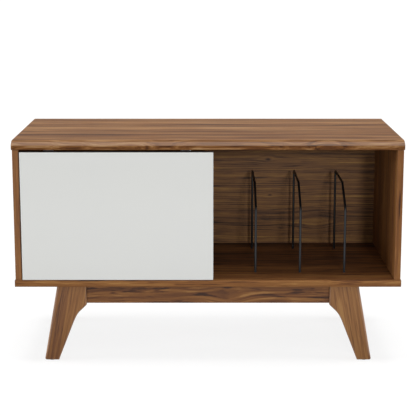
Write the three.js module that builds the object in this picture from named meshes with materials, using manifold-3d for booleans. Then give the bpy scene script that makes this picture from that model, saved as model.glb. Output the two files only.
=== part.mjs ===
import * as THREE from "three";
import { mergeVertices } from "three/addons/utils/BufferGeometryUtils.js";
import Module from "manifold-3d";

const wasm = await Module();
wasm.setup();

// A record cabinet in millimetres: X runs along its width, -Y is its front, and z = 0 is the floor

// Case
const caseWidth = 990;
const caseDepth = 400;
const standHeight = 204; // floor to the underside of the bottom panel
const bottomThickness = 18;
const bayHeight = 338; // takes a 315 mm record sleeve
const topThickness = 23;
const topFrontEdge = { depth: 21, drop: 11.3 }; // its curve meets the front face at an angle
const bottomFrontEdge = { depth: 4.5, drop: 4.5 };
const undersideRadius = 3.5;
const panelEndRound = 2.5;
const sideThickness = 16;
const sideInset = 2; // from the ends of the top and bottom panels
const sideSetback = 2.5; // behind their front edges
const dividerThickness = 16;
const dividerSetback = 45; // leaves the door and its hangers room to pass
const boardArris = 0.8;
const backThickness = 5;
const backInset = 10; // from the case's rear edge
const rebateDepth = 6; // into each board round the back panel

// Clearances
const seatGap = 0.3; // between pieces that rest on each other
const runningGap = 0.08; // between a turning shaft and its hole
const overrun = 5; // how far a cutting shape passes the face it opens
const mergeDistance = 0.001;

// Sliding door
const doorThickness = 16;
const doorSetback = 0; // flush with the top and bottom panels
const doorSideGap = 2.4;
const doorOverlap = 5.3; // how far it passes the centre divider
const doorFloorGap = 1;
const doorTopGap = 5.2;
const doorArris = 1;
const guideGrooveWidth = 5;
const guideGrooveDepth = 8.5;

// Top track, a channel with a slot along its underside
const trackWidth = 20;
const trackHeight = 15;
const trackWall = 1.4;
const trackSlot = 4.4;
const trackDrop = 2.5; // stands below the top panel's underside
const trackBehindDoor = 14; // door's back face to the middle of the slot
const trackScrewInset = 90;
const stopLength = 14;
const stopGap = 0.5;

// Hangers
const hangerInset = 70; // from the door's ends
const hangerWidth = 26;
const hangerSheet = 2;
const hangerBendRadius = 2.5;
const hangerPlateHeight = 38;
const hangerHeadroom = 3.2; // sheet left above the axle's hole
const wheelRadius = 5.2;
const wheelWidth = 5;
const wheelEdge = 0.6;
const wheelHubRadius = 3;
const wheelDish = 0.8;
const axleRadius = 1.5;
const axleEnd = 0.8; // stands proud of each wheel
const axleChamfer = 0.35;
const hangerScrewPitch = 18;

// Floor guide
const guideFinThickness = 4;
const guideFinRise = 8; // above the bay floor
const guideFinNoseShare = 0.3;
const guideLength = 20;
const guideFootWidth = 9;
const guideFootThickness = 2;
const guidePegRadius = 2.5;
const guidePegLength = 8;

// Record dividers, bent from round rod
const rodRadius = 3;
const rodCount = 3;
const rodPitch = 116.5;
const rodHeight = 225; // bay floor to the middle of the top rod
const rodShoulderHeight = 172; // where the slope meets the front leg
const rodFrontDepth = 77; // from the case's front edge
const rodSlopeDepth = 155;
const rodBackInset = 80; // from the case's rear edge
const rodBendRadius = 9;
const rodSeat = 9; // how far each end goes into the bottom panel

// Legs
const legThickness = 28;
const legSetback = 20; // from the case's front and rear edges
const legEdgeInset = 105.5; // case end to the top corner of the leg
const legHeadWidth = 75.5;
const legSplay = 36.4;
const legFootWidth = 37.2;
const legKneeDrop = 53.5;
const legCornerRun = 16.9;
const legCornerDrop = 69.8;
const legBendRun = 35;
const legBendDrop = 100.6;
const legFootRadius = 5.5;
const legEdgeRound = 3.5;

// Aprons, rails and corner blocks
const apronHeight = 50.5;
const apronThickness = 18;
const apronRecess = 8;
const railHeight = 44;
const railThickness = 20;
const railInset = 16; // from the leg's top outer corner
const frameArris = 1.2;
const blockSize = 42;
const blockHeight = 30;
const blockNose = 9; // flat left at each sharp corner of the block
const blockScrewInset = 14; // from both of the block's square sides

// Foot glides
const glideRadius = 9.5;
const glideHeight = 1.2;
const glideEdge = 0.5;
const glidePinRadius = 1.25;
const glidePinLength = 14;

// Fasteners
const caseScrew = { headRadius: 5, headHeight: 3.5, shankRadius: 2.5, length: 50, sunk: true };
const trackScrew = { headRadius: 2.8, headHeight: 1.3, shankRadius: 1.5, length: 9, sunk: true };
const hangerScrew = { headRadius: 3, headHeight: 1.8, shankRadius: 1.5, length: 12, sunk: false };
const blockScrew = { headRadius: 4, headHeight: 2.4, shankRadius: 2, length: 40, sunk: false };
const screwTipShare = 0.12;
const screwRecessShare = 0.45;
const dowelRadius = 4;
const dowelLength = 30;
const dowelInTop = 12;
const dowelChamfer = 1;
const jointSpreadShare = 0.32; // screws and dowels from the middle of a side panel

// Sizes that follow from the ones above
const front = -caseDepth / 2;
const rear = caseDepth / 2;
const bayFloor = standHeight + bottomThickness;
const topUnderside = bayFloor + bayHeight;
const bayHalfWidth = caseWidth / 2 - sideInset - sideThickness;
const sideMiddle = bayHalfWidth + sideThickness / 2;
const doorWidth = bayHalfWidth - doorSideGap + dividerThickness / 2 + doorOverlap;
const doorHeight = bayHeight - doorFloorGap - doorTopGap;
const doorFront = front + doorSetback;
const doorBack = doorFront + doorThickness;
const doorTravel = 2 * (bayHalfWidth - doorSideGap) - doorWidth;
const trackMiddle = doorBack + trackBehindDoor;
const axleHeight = trackWall + seatGap + wheelRadius; // above the track's lower face
const hangerStemHalf = hangerSheet / 2;
const wheelMiddle = hangerStemHalf + seatGap + wheelWidth / 2;
const backFace = rear - backInset - backThickness; // the back panel's face in the bays
const boardBack = backFace - seatGap;
const panelHeight = bayHeight - 2 * seatGap;
const legHeight = standHeight - glideHeight - seatGap;
const legMiddle = front + legSetback + legThickness / 2;
const legInner = caseWidth / 2 - legEdgeInset - legHeadWidth;

// Materials
const finish = (color, roughness, metalness = 0) =>
  new THREE.MeshStandardMaterial({ color, roughness, metalness });
const walnutFace = () => finish(0x85603f, 0.5);
const walnutTop = () => finish(0x916f50, 0.45);
const walnutBack = () => finish(0x5a4029, 0.6);
const walnutLeg = () => finish(0x85593a, 0.5);
const plainWood = () => finish(0xb08d62, 0.7);
const whiteLacquer = () => finish(0xd6d7d2, 0.35);
const blackRod = () => finish(0x15161a, 0.4, 0.2);
const trackMetal = () => finish(0xa8aaad, 0.35, 1);
const zincSteel = () => finish(0x9a9c9e, 0.35, 1);
const whiteNylon = () => finish(0xdeddd6, 0.5);
const blackNylon = () => finish(0x1c1c1c, 0.5);
const brownNylon = () => finish(0x3a2c22, 0.6);

// Solids

function toSolid(geometry) {
  const bare = geometry.clone();
  bare.deleteAttribute("normal");
  bare.deleteAttribute("uv");
  const merged = mergeVertices(bare, mergeDistance);
  const vertProperties = merged.getAttribute("position").array;
  const triVerts = new Uint32Array(merged.index.array);
  return new wasm.Manifold(new wasm.Mesh({ numProp: 3, vertProperties, triVerts }));
}

function toGeometry(solid) {
  const mesh = solid.getMesh();
  const indexed = new THREE.BufferGeometry();
  indexed.setAttribute("position", new THREE.BufferAttribute(mesh.vertProperties, mesh.numProp));
  indexed.setIndex(new THREE.BufferAttribute(mesh.triVerts, 1));
  const faceted = indexed.toNonIndexed();
  faceted.computeVertexNormals();
  return faceted;
}

function cut(geometry, cutters) {
  const solid = cutters.reduce((rest, cutter) => rest.subtract(toSolid(cutter)), toSolid(geometry));
  return toGeometry(solid);
}

function join(geometries) {
  const [first, ...others] = geometries;
  return toGeometry(others.reduce((whole, next) => whole.add(toSolid(next)), toSolid(first)));
}

// A box from its lowest corner to its highest
function boxBetween(low, high) {
  const size = high.map((value, axis) => value - low[axis]);
  const middle = high.map((value, axis) => (value + low[axis]) / 2);
  return new THREE.BoxGeometry(...size).translate(...middle);
}

// Turns a geometry drawn about the Y axis so that its +Y points up
const standUp = (geometry) => geometry.rotateX(Math.PI / 2);

// Turns a Y-Z outline, extruded along the drawing's own Z, so that it runs along X
function alongX(geometry) {
  const turn = new THREE.Matrix4().makeBasis(
    new THREE.Vector3(0, 1, 0),
    new THREE.Vector3(0, 0, 1),
    new THREE.Vector3(1, 0, 0),
  );
  return geometry.applyMatrix4(turn);
}

// Extrudes an outline and rounds the edges of both of its faces, inside its own size
function extrudeRounded(outline, length, round, roundSteps, curveSegments) {
  const settings = {
    depth: length - 2 * round,
    curveSegments,
    bevelEnabled: round > 0,
    bevelThickness: round,
    bevelSize: round,
    bevelOffset: -round,
    bevelSegments: roundSteps,
  };
  return new THREE.ExtrudeGeometry(outline, settings).translate(0, 0, round - length / 2);
}

function rectangle(left, low, right, high, radius) {
  const outline = new THREE.Shape();
  outline.moveTo(left + radius, low);
  outline.lineTo(right - radius, low);
  outline.absarc(right - radius, low + radius, radius, -Math.PI / 2, 0);
  outline.absarc(right - radius, high - radius, radius, 0, Math.PI / 2);
  outline.absarc(left + radius, high - radius, radius, Math.PI / 2, Math.PI);
  outline.absarc(left + radius, low + radius, radius, Math.PI, Math.PI * 1.5);
  return outline;
}

// A rounded board, centred on its own origin
function board(width, depth, height, arris) {
  const outline = rectangle(-width / 2, -height / 2, width / 2, height / 2, arris);
  return standUp(extrudeRounded(outline, depth, arris, 1, 1));
}

// A round hole, from a little before its start, drilled along +Y
function bore(radius, depth, segments = 16) {
  const length = depth + overrun;
  return new THREE.CylinderGeometry(radius, radius, length, segments).translate(0, length / 2 - overrun, 0);
}

function turned(points, segments) {
  const profile = points.map(([radius, height]) => new THREE.Vector2(radius, height));
  return new THREE.LatheGeometry(profile, segments);
}

// Fasteners point along -Y, with the face that the head seats on, or is flush with, at y = 0

function screwPoints({ headRadius, headHeight, shankRadius, length, sunk }) {
  const tip = length * screwTipShare;
  const recess = headRadius * screwRecessShare;
  const shank = [[0, -length], [shankRadius, tip - length]];
  const sunkHead = [[shankRadius, -headHeight], [headRadius, 0], [recess, 0], [0, -recess / 2]];
  const roundHead = [
    [shankRadius, 0],
    [headRadius, 0],
    [headRadius, headHeight / 2],
    [recess, headHeight],
    [0, headHeight / 2],
  ];
  return shank.concat(sunk ? sunkHead : roundHead);
}

const screwBody = (screw) => turned(screwPoints(screw), 12);

// The countersunk hole that a sunk screw needs
function sunkHole({ headRadius, headHeight, shankRadius, length }) {
  const shank = shankRadius + seatGap;
  const head = headRadius + seatGap;
  const end = -length - seatGap;
  return turned(
    [
      [0, end],
      [shank, end],
      [shank, -headHeight - seatGap],
      [head, -seatGap],
      [head, overrun],
      [0, overrun],
    ],
    12,
  );
}

// Turns a fastener drawn along -Y so that it points up
const pointUp = (geometry) => geometry.rotateX(-Math.PI / 2);

function dowelBody() {
  const end = dowelRadius - dowelChamfer;
  return turned(
    [
      [0, 0],
      [end, 0],
      [dowelRadius, dowelChamfer],
      [dowelRadius, dowelLength - dowelChamfer],
      [end, dowelLength],
      [0, dowelLength],
    ],
    12,
  );
}

// Places of the joints along each upright board, measured from the middle of the case
const sideJointPlaces = [-1, 1].map((end) => end * caseDepth * jointSpreadShare);
const dividerJointPlaces = [front + dividerSetback + caseDepth * jointSpreadShare / 2, sideJointPlaces[1]];
const uprights = [
  { name: "left_side", x: -sideMiddle, places: sideJointPlaces },
  { name: "right_side", x: sideMiddle, places: sideJointPlaces },
  { name: "divider", x: 0, places: dividerJointPlaces },
];
const uprightJoints = uprights.flatMap(({ name, x, places }) =>
  places.map((y, index) => ({ name: name + (index ? "_rear" : "_front"), x, y })),
);

// Outline of the top or bottom panel seen from its end, with y along the depth
function panelOutline(thickness, { depth, drop }) {
  const radius = (depth * depth + drop * drop) / (2 * drop);
  const sweep = 2 * Math.atan(drop / depth);
  const outline = new THREE.Shape();
  outline.moveTo(front + undersideRadius, 0);
  outline.lineTo(rear, 0);
  outline.lineTo(rear, thickness);
  outline.lineTo(front + depth, thickness);
  outline.absarc(front + depth, thickness - radius, radius, Math.PI / 2, Math.PI / 2 + sweep);
  outline.absarc(front + undersideRadius, undersideRadius, undersideRadius, Math.PI, Math.PI * 1.5);
  return outline;
}

// The part of a panel that is cut away for the back panel, from low to high
function backRebate(low, high) {
  const half = bayHalfWidth + rebateDepth;
  return boxBetween([-half, boardBack, low], [half, rear + overrun, high]);
}

// Where the rods stand: their planes along X and the two feet of each along Y
const rodPlace = (index) => dividerThickness / 2 + rodPitch * (index + 1);
const rodPlaces = Array.from({ length: rodCount }, (_, index) => rodPlace(index));
const rodFeet = [front + rodFrontDepth, rear - rodBackInset];

// Where the corner blocks' square corners and their screws stand, seen from above
const blockCorner = {
  x: legInner + legHeadWidth - railInset - railThickness - seatGap,
  y: -(legMiddle + legThickness / 2 + seatGap),
};
const corners = [
  { name: "front_left", sideX: -1, sideY: -1 },
  { name: "front_right", sideX: 1, sideY: -1 },
  { name: "rear_left", sideX: -1, sideY: 1 },
  { name: "rear_right", sideX: 1, sideY: 1 },
];
const blockScrewPlaces = corners.map(({ sideX, sideY }) => ({
  x: sideX * (blockCorner.x - blockScrewInset),
  y: sideY * (blockCorner.y - blockScrewInset),
}));

// Bottom panel, with its origin at the middle of its underside
function bottomPanel() {
  const outline = panelOutline(bottomThickness, bottomFrontEdge);
  const panel = alongX(extrudeRounded(outline, caseWidth, panelEndRound, 2, 5));
  const rodHoles = rodPlaces.flatMap((x) =>
    rodFeet.map((y) => {
      const hole = bore(rodRadius + seatGap, rodSeat + seatGap).rotateX(-Math.PI / 2);
      return hole.translate(x, y, bottomThickness);
    }),
  );
  const caseHoles = uprightJoints.map(({ x, y }) => pointUp(sunkHole(caseScrew)).translate(x, y, 0));
  const blockHoles = blockScrewPlaces.map(({ x, y }) => {
    const depth = blockScrew.length - blockHeight - seatGap;
    return standUp(bore(blockScrew.shankRadius + seatGap, depth + seatGap, 12)).translate(x, y, 0);
  });
  const rebate = backRebate(bottomThickness - rebateDepth, bottomThickness + overrun);
  return cut(panel, [rebate, ...rodHoles, ...caseHoles, ...blockHoles, ...guideSocket()]);
}

// The mortise and hole for the floor guide, in the bottom panel's own frame
function guideSocket() {
  const middle = doorFront + doorThickness / 2;
  const length = guideLength / 2 + seatGap;
  const width = guideFootWidth / 2 + seatGap;
  const floor = bottomThickness - guideFootThickness - 2 * seatGap;
  const mortise = boxBetween(
    [-length, middle - width, floor],
    [length, middle + width, bottomThickness + overrun],
  );
  const hole = bore(guidePegRadius + seatGap, guidePegLength + seatGap).rotateX(-Math.PI / 2);
  return [mortise, hole.translate(0, middle, floor)];
}

// Top panel, with its origin at the middle of its underside
function topPanel() {
  const outline = panelOutline(topThickness, topFrontEdge);
  const panel = alongX(extrudeRounded(outline, caseWidth, panelEndRound, 2, 6));
  const grooveHalf = trackWidth / 2 + seatGap;
  const grooveDepth = trackHeight - trackDrop + seatGap;
  const groove = boxBetween(
    [-bayHalfWidth, trackMiddle - grooveHalf, -overrun],
    [bayHalfWidth, trackMiddle + grooveHalf, grooveDepth],
  );
  const dowelHoles = uprightJoints.map(({ x, y }) =>
    standUp(bore(dowelRadius + seatGap, dowelInTop + seatGap, 12)).translate(x, y, 0),
  );
  const screwHeight = trackHeight - trackDrop - trackWall;
  const screwHoles = trackScrewPlaces.map((x) =>
    pointUp(sunkHole(trackScrew)).translate(x, trackMiddle, screwHeight),
  );
  return cut(panel, [backRebate(-overrun, rebateDepth), groove, ...dowelHoles, ...screwHoles]);
}

// An upright board of the case, standing on its own origin, with y measured from the case's middle
function uprightBoard(thickness, frontEdge, rearEdge, places) {
  const depth = rearEdge - frontEdge;
  const middle = (rearEdge + frontEdge) / 2;
  const body = board(thickness, depth, panelHeight, boardArris).translate(0, middle, panelHeight / 2);
  const screwDepth = caseScrew.length - bottomThickness;
  const dowelDepth = dowelLength - dowelInTop;
  const holes = places.flatMap((y) => [
    standUp(bore(caseScrew.shankRadius + seatGap, screwDepth, 12)).translate(0, y, 0),
    bore(dowelRadius + seatGap, dowelDepth, 12).rotateX(-Math.PI / 2).translate(0, y, panelHeight),
  ]);
  return cut(body, holes);
}

// A side panel, its inner face towards inward, with the rebate that the back panel sits in
function sidePanel(inward) {
  const body = uprightBoard(sideThickness, front + sideSetback, rear - sideSetback, sideJointPlaces);
  const face = (inward * sideThickness) / 2;
  const shoulder = face - inward * rebateDepth;
  const reach = face + inward * overrun;
  const rebate = boxBetween(
    [Math.min(shoulder, reach), boardBack, -overrun],
    [Math.max(shoulder, reach), rear + overrun, panelHeight + overrun],
  );
  return cut(body, [rebate]);
}

function backPanel() {
  const width = 2 * (bayHalfWidth + rebateDepth - seatGap);
  const height = bayHeight + 2 * (rebateDepth - seatGap);
  return new THREE.BoxGeometry(width, backThickness, height);
}

// Door panel, with its origin at its lower left front corner
function doorPanel() {
  const body = board(doorWidth, doorThickness, doorHeight, doorArris);
  body.translate(doorWidth / 2, doorThickness / 2, doorHeight / 2);
  const middle = doorThickness / 2;
  const groove = boxBetween(
    [-overrun, middle - guideGrooveWidth / 2, -overrun],
    [doorWidth + overrun, middle + guideGrooveWidth / 2, guideGrooveDepth],
  );
  const depth = hangerScrew.length - hangerSheet - seatGap;
  const holes = hangerPlaces.flatMap((x) =>
    hangerScrewHeights.map((z) => {
      const hole = bore(hangerScrew.shankRadius + seatGap, depth + seatGap, 12).rotateX(Math.PI);
      return hole.translate(x, doorThickness, z);
    }),
  );
  return cut(body, [groove, ...holes]);
}

// Hangers along the door, and their screws' heights above the door's bottom edge
const hangerPlaces = [hangerInset, doorWidth - hangerInset];
const plateLow = doorHeight - hangerPlateHeight;
const hangerScrewHeights = [-1, 1].map(
  (end) => plateLow + (hangerPlateHeight - hangerSheet) / 2 + end * hangerScrewPitch / 2,
);
const axleAboveDoor = doorTopGap - trackDrop + axleHeight;
const plateBehindDoor = doorThickness + seatGap;

// Bracket seen from its end, y and z measured from the door's lower front edge
function bracketOutline() {
  const plateFront = plateBehindDoor;
  const plateRear = plateFront + hangerSheet;
  const stemRear = doorThickness + trackBehindDoor + hangerSheet / 2;
  const stemFront = stemRear - hangerSheet;
  const shelfTop = doorHeight;
  const shelfLow = shelfTop - hangerSheet;
  const stemTop = doorHeight + axleAboveDoor + hangerHeadroom;
  const bend = hangerBendRadius;
  const outline = new THREE.Shape();
  outline.moveTo(plateFront, plateLow);
  outline.lineTo(plateRear, plateLow);
  outline.lineTo(plateRear, shelfLow);
  outline.lineTo(stemRear - bend, shelfLow);
  outline.absarc(stemRear - bend, shelfLow + bend, bend, -Math.PI / 2, 0);
  outline.lineTo(stemRear, stemTop);
  outline.lineTo(stemFront, stemTop);
  outline.lineTo(stemFront, shelfTop);
  outline.lineTo(plateFront + bend, shelfTop);
  outline.absarc(plateFront + bend, shelfTop - bend, bend, Math.PI / 2, Math.PI);
  return outline;
}

// Hanger bracket, its middle at x = 0
function hangerBracket() {
  const strip = alongX(extrudeRounded(bracketOutline(), hangerWidth, 0, 1, 4));
  const through = bore(axleRadius + runningGap, hangerSheet + overrun, 20);
  through.translate(0, doorThickness + trackBehindDoor - hangerSheet, doorHeight + axleAboveDoor);
  const screwHoles = hangerScrewHeights.map((z) =>
    bore(hangerScrew.shankRadius + seatGap, 2 * hangerSheet, 12).translate(0, plateBehindDoor, z),
  );
  return cut(strip, [through, ...screwHoles]);
}

// Wheel about the Y axis, its middle at the origin
function hangerWheel() {
  const half = wheelWidth / 2;
  const hole = axleRadius + seatGap;
  const points = [
    [hole, wheelDish - half],
    [wheelHubRadius, wheelDish - half],
    [wheelHubRadius + wheelEdge, -half],
    [wheelRadius - wheelEdge, -half],
    [wheelRadius, wheelEdge - half],
    [wheelRadius, half - wheelEdge],
    [wheelRadius - wheelEdge, half],
    [wheelHubRadius + wheelEdge, half],
    [wheelHubRadius, half - wheelDish],
    [hole, half - wheelDish],
    [hole, wheelDish - half],
  ];
  return turned(points, 20);
}

function hangerAxle() {
  const half = wheelMiddle + wheelWidth / 2 + axleEnd;
  const points = [
    [0, -half],
    [axleRadius - axleChamfer, -half],
    [axleRadius, axleChamfer - half],
    [axleRadius, half - axleChamfer],
    [axleRadius - axleChamfer, half],
    [0, half],
  ];
  return turned(points, 20);
}

// Track section, with the middle of its lower face at the origin
function trackOutline() {
  const half = trackWidth / 2;
  const inner = half - trackWall;
  const slot = trackSlot / 2;
  const outline = new THREE.Shape();
  outline.moveTo(-half, 0);
  outline.lineTo(-slot, 0);
  outline.lineTo(-slot, trackWall);
  outline.lineTo(-inner, trackWall);
  outline.lineTo(-inner, trackHeight - trackWall);
  outline.lineTo(inner, trackHeight - trackWall);
  outline.lineTo(inner, trackWall);
  outline.lineTo(slot, trackWall);
  outline.lineTo(slot, 0);
  outline.lineTo(half, 0);
  outline.lineTo(half, trackHeight);
  outline.lineTo(-half, trackHeight);
  return outline;
}

const trackScrewPlaces = [-1, 1].map((end) => end * (bayHalfWidth - trackScrewInset));

function doorTrack() {
  const length = 2 * (bayHalfWidth - seatGap);
  const channel = alongX(extrudeRounded(trackOutline(), length, 0, 1, 1));
  const holes = trackScrewPlaces.map((x) =>
    pointUp(sunkHole(trackScrew)).translate(x, 0, trackHeight - trackWall),
  );
  return cut(channel, holes);
}

// Stop that fills the channel's hollow and has a lug down through the slot
function trackStop() {
  const half = trackWidth / 2 - trackWall - seatGap;
  const slot = trackSlot / 2 - seatGap;
  const low = trackWall + seatGap;
  const high = trackHeight - trackWall - seatGap;
  const end = stopLength / 2;
  return join([
    boxBetween([-end, -half, low], [end, half, high]),
    boxBetween([-end, -slot, 0], [end, slot, low + seatGap]),
  ]);
}

// Floor guide, with the bay floor at z = 0
function floorGuide() {
  const fin = guideFinThickness / 2;
  const foot = guideFootWidth / 2;
  const nose = guideFinThickness * guideFinNoseShare;
  const footTop = -seatGap;
  const footLow = footTop - guideFootThickness;
  const outline = new THREE.Shape();
  outline.moveTo(-foot, footLow);
  outline.lineTo(foot, footLow);
  outline.lineTo(foot, footTop);
  outline.lineTo(fin, footTop);
  outline.lineTo(fin, guideFinRise - nose);
  outline.absarc(fin - nose, guideFinRise - nose, nose, 0, Math.PI / 2);
  outline.absarc(nose - fin, guideFinRise - nose, nose, Math.PI / 2, Math.PI);
  outline.lineTo(-fin, footTop);
  outline.lineTo(-foot, footTop);
  const body = alongX(extrudeRounded(outline, guideLength, 0, 1, 4));
  const peg = new THREE.CylinderGeometry(guidePegRadius, guidePegRadius, guidePegLength, 16);
  const pegTop = footLow + seatGap;
  return join([body, standUp(peg).translate(0, 0, pegTop - guidePegLength / 2)]);
}

// A path of straight runs and round bends in the Y-Z plane, drawn through its stations in order
class BentPath extends THREE.Curve {
  constructor(stations) {
    super();
    this.stations = stations;
  }

  getPoint(t) {
    const place = t * (this.stations.length - 1);
    const index = Math.min(Math.floor(place), this.stations.length - 2);
    return this.stations[index].clone().lerp(this.stations[index + 1], place - index);
  }

  getUtoTmapping(u) {
    return u;
  }
}

// Stations of a polyline whose inner corners are rounded to one radius
function bendCorners(points, radius, steps) {
  const stations = [points[0]];
  for (let i = 1; i < points.length - 1; i += 1) {
    const back = points[i - 1].clone().sub(points[i]).normalize();
    const ahead = points[i + 1].clone().sub(points[i]).normalize();
    const halfAngle = back.angleTo(ahead) / 2;
    const toMiddle = back.clone().add(ahead).normalize();
    const centre = points[i].clone().addScaledVector(toMiddle, radius / Math.sin(halfAngle));
    const start = points[i].clone().addScaledVector(back, radius / Math.tan(halfAngle)).sub(centre);
    const end = points[i].clone().addScaledVector(ahead, radius / Math.tan(halfAngle)).sub(centre);
    const sweep = start.angleTo(end);
    const axis = start.clone().cross(end).normalize();
    for (let step = 0; step <= steps; step += 1) {
      stations.push(start.clone().applyAxisAngle(axis, (sweep * step) / steps).add(centre));
    }
  }
  stations.push(points[points.length - 1]);
  return stations;
}

// Record divider in its own Y-Z plane, with the bay floor at z = 0
function recordDivider() {
  const foot = -rodSeat;
  const [frontFoot, backFoot] = rodFeet;
  const points = [
    new THREE.Vector3(0, frontFoot, foot),
    new THREE.Vector3(0, frontFoot, rodShoulderHeight),
    new THREE.Vector3(0, front + rodSlopeDepth, rodHeight),
    new THREE.Vector3(0, backFoot, rodHeight),
    new THREE.Vector3(0, backFoot, foot),
  ];
  const path = new BentPath(bendCorners(points, rodBendRadius, 5));
  const section = new THREE.Shape().absarc(0, 0, rodRadius, 0, 2 * Math.PI);
  const steps = path.stations.length - 1;
  return new THREE.ExtrudeGeometry(section, { steps, extrudePath: path, curveSegments: 10 });
}

// Leg seen from the front: x = 0 is its inner top edge, z = 0 its top, and it splays towards +X
function legOutline() {
  const footOuter = legHeadWidth + legSplay;
  const footInner = footOuter - legFootWidth;
  const kneeAngle = Math.atan2(legCornerDrop - legKneeDrop, legCornerRun);
  const slopeRun = (footInner - legBendRun) / (legHeight - legBendDrop);
  const reach = (legBendDrop - legCornerDrop) * slopeRun;
  const pull = (legBendRun - legCornerRun - reach) / (1 - Math.tan(kneeAngle) * slopeRun);
  const controlX = legCornerRun + pull;
  const controlZ = -legCornerDrop - pull * Math.tan(kneeAngle);
  const footSlope = Math.atan2(legSplay, legHeight);
  const toeX = legFootRadius * Math.tan(Math.PI / 4 + footSlope / 2);
  const heel = { x: Math.sin(footSlope) * toeX, z: Math.cos(footSlope) * toeX };
  const outline = new THREE.Shape();
  outline.moveTo(0, legEdgeRound);
  outline.lineTo(0, -legKneeDrop);
  outline.lineTo(legCornerRun, -legCornerDrop);
  outline.quadraticCurveTo(controlX, controlZ, legBendRun, -legBendDrop);
  outline.lineTo(footInner, -legHeight);
  outline.lineTo(footOuter - toeX, -legHeight);
  outline.quadraticCurveTo(footOuter, -legHeight, footOuter - heel.x, heel.z - legHeight);
  outline.lineTo(legHeadWidth, 0);
  outline.lineTo(legHeadWidth, legEdgeRound);
  return outline;
}

// Leg with its top just under z = 0, and a hole in its foot for the glide's pin
function legBody() {
  const body = standUp(extrudeRounded(legOutline(), legThickness, legEdgeRound, 3, 6));
  const reach = legHeadWidth + overrun;
  const crown = boxBetween([-overrun, -legThickness, -seatGap], [reach, legThickness, 2 * legEdgeRound]);
  const pinHole = standUp(bore(glidePinRadius + seatGap, glidePinLength + seatGap, 12));
  return cut(body, [crown, pinHole.translate(footMiddle, 0, -legHeight)]);
}

const footMiddle = legHeadWidth + legSplay - legFootWidth / 2;

// Glide standing on the floor at z = 0, with a pin up into the leg
function footGlide() {
  const points = [
    [0, 0],
    [glideRadius - glideEdge, 0],
    [glideRadius, glideEdge],
    [glideRadius, glideHeight],
    [glidePinRadius, glideHeight],
    [glidePinRadius, glideHeight + glidePinLength],
    [0, glideHeight + glidePinLength],
  ];
  return standUp(turned(points, 20));
}

// Corner block: a square corner at the origin and its long side facing -X and -Y, under z = 0
function cornerBlock() {
  const outline = new THREE.Shape();
  outline.moveTo(0, 0);
  outline.lineTo(-blockSize, 0);
  outline.lineTo(-blockSize, -blockNose);
  outline.lineTo(-blockNose, -blockSize);
  outline.lineTo(0, -blockSize);
  const settings = { depth: blockHeight, bevelEnabled: false };
  const body = new THREE.ExtrudeGeometry(outline, settings).translate(0, 0, -blockHeight);
  const hole = standUp(bore(blockScrew.shankRadius + seatGap, blockHeight + overrun, 12));
  return cut(body, [hole.translate(-blockScrewInset, -blockScrewInset, -blockHeight)]);
}

// Assembly

const cabinet = new THREE.Group();

function add(parent, name, geometry, material, x = 0, y = 0, z = 0) {
  const mesh = new THREE.Mesh(geometry, material);
  mesh.name = name;
  mesh.position.set(x, y, z);
  parent.add(mesh);
  return mesh;
}

function addCase() {
  const upright = bayFloor + seatGap;
  const dividerFront = front + dividerSetback;
  const divider = uprightBoard(dividerThickness, dividerFront, boardBack, dividerJointPlaces);
  add(cabinet, "top_panel", topPanel(), walnutTop(), 0, 0, topUnderside);
  add(cabinet, "bottom_panel", bottomPanel(), walnutFace(), 0, 0, standHeight);
  add(cabinet, "left_side_panel", sidePanel(1), walnutFace(), -sideMiddle, 0, upright);
  add(cabinet, "right_side_panel", sidePanel(-1), walnutFace(), sideMiddle, 0, upright);
  add(cabinet, "centre_divider", divider, walnutFace(), 0, 0, upright);
  const backMiddle = bayFloor + bayHeight / 2;
  add(cabinet, "back_panel", backPanel(), walnutBack(), 0, backFace + backThickness / 2, backMiddle);
}

function addCaseFasteners() {
  const dowelLow = topUnderside + dowelInTop - dowelLength;
  for (const { name, x, y } of uprightJoints) {
    const screw = pointUp(screwBody(caseScrew));
    add(cabinet, name + "_case_screw", screw, zincSteel(), x, y, standHeight + seatGap);
    add(cabinet, name + "_dowel", standUp(dowelBody()), plainWood(), x, y, dowelLow);
  }
}

function addRecordDividers() {
  rodPlaces.forEach((x, index) => {
    add(cabinet, "record_divider_" + (index + 1), recordDivider(), blackRod(), x, 0, bayFloor);
  });
}

function addTrack() {
  const track = new THREE.Group();
  track.position.set(0, trackMiddle, topUnderside - trackDrop);
  cabinet.add(track);
  add(track, "door_track", doorTrack(), trackMetal());
  const reach = doorTravel / 2 + doorWidth / 2 - hangerInset + hangerWidth / 2 + stopGap + stopLength / 2;
  add(track, "left_track_stop", trackStop(), blackNylon(), -reach);
  add(track, "right_track_stop", trackStop(), blackNylon(), reach);
  const names = ["left_track_screw", "right_track_screw"];
  trackScrewPlaces.forEach((x, index) => {
    const screw = pointUp(screwBody(trackScrew));
    add(track, names[index], screw, zincSteel(), x, 0, trackHeight - trackWall + seatGap);
  });
  const guideMiddle = doorFront + doorThickness / 2;
  add(cabinet, "floor_guide", floorGuide(), blackNylon(), 0, guideMiddle, bayFloor);
}

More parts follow.
